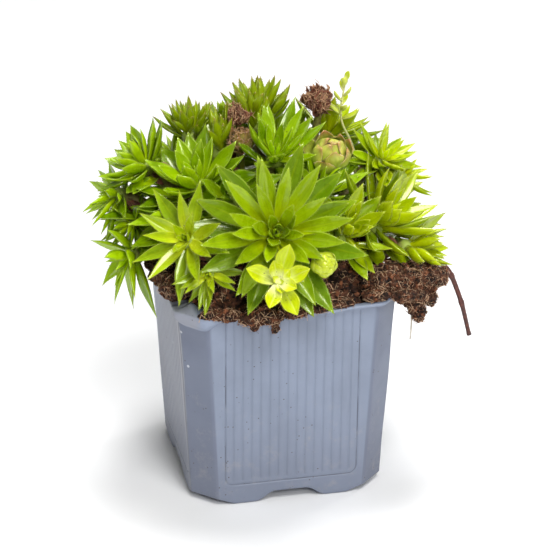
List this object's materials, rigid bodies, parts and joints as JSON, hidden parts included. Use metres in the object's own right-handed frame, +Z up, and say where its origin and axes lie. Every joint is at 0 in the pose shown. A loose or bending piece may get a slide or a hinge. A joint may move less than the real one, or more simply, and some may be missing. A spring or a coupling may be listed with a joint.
{
  "type": "potted hens and chicks",
  "caption": "Clump of fleshy pointed leaf rosettes, one large among small ones and closed ball offsets, on domed peat soil in a square ribbed plastic nursery pot with cut corners.",
  "frame": {"origin": "middle of the whole part's footprint box, on the surface that the pot's feet stand on", "axes": "+Z up; the pot's front face, where the large rosette leans out, looks toward -Y; +X to the right of that face"},
  "size_m": [0.1538, 0.1322, 0.1623],
  "materials": {
    "pot_plastic": "matt moulded blue-grey plastic, slightly soiled",
    "peat_soil": "coarse red-brown peat and coir with pale fibres",
    "hen_leaf": "glossy mid green, pale thin margins, yellow-green base",
    "yellow_leaf": "glossy yellow-lime, pale centre",
    "lime_leaf": "glossy lime green, pale tips",
    "star_leaf": "glossy yellow-green",
    "side_leaf": "satin green",
    "tuft_leaf": "satin green with brown-red tips",
    "back_leaf": "satin green",
    "dry_leaf": "dry curled red-brown leaf",
    "bud_green": "satin pale lime",
    "bud_pale": "satin whitish green with pink-brown scale tips",
    "bud_brown": "matt brown and green",
    "sprig_green": "satin pale yellow-green",
    "dry_runner": "dry red-brown runner",
    "pale_root": "thin white root"
  },
  "bodies": {
    "root": {"bud_brown": "bud_brown", "bud_front": "bud_green", "bud_top": "bud_pale", "chick_back_big": "back_leaf", "chick_back_far": "back_leaf", "chick_back_front": "back_leaf", "chick_back_left": "back_leaf", "chick_back_low_left": "back_leaf", "chick_back_low_right": "back_leaf", "chick_back_right": "back_leaf", "chick_behind": "side_leaf", "chick_front": "yellow_leaf", "chick_left_far": "side_leaf", "chick_left_hang": "side_leaf", "chick_left_inner": "side_leaf", "chick_left_long": "side_leaf", "chick_left_low": "side_leaf", "chick_left_mid": "side_leaf", "chick_left_star": "star_leaf", "chick_left_top": "side_leaf", "chick_left_tuft": "tuft_leaf", "chick_mid_right": "side_leaf", "chick_right_back": "lime_leaf", "chick_right_big": "lime_leaf", "chick_right_inner": "lime_leaf", "chick_right_low": "lime_leaf", "chick_right_small": "lime_leaf", "chick_right_spiky": "lime_leaf", "chick_star_low": "star_leaf", "chick_top": "tuft_leaf", "chick_top_back": "back_leaf", "chick_top_right": "lime_leaf", "chick_upright": "tuft_leaf", "dead_small": "dry_leaf", "dead_top": "dry_leaf", "fine_root": "pale_root", "hen_rosette": "hen_leaf", "pot": "pot_plastic", "soil": "peat_soil", "sprig": "sprig_green", "stolon": "dry_runner"}
  },
  "joints": []
}
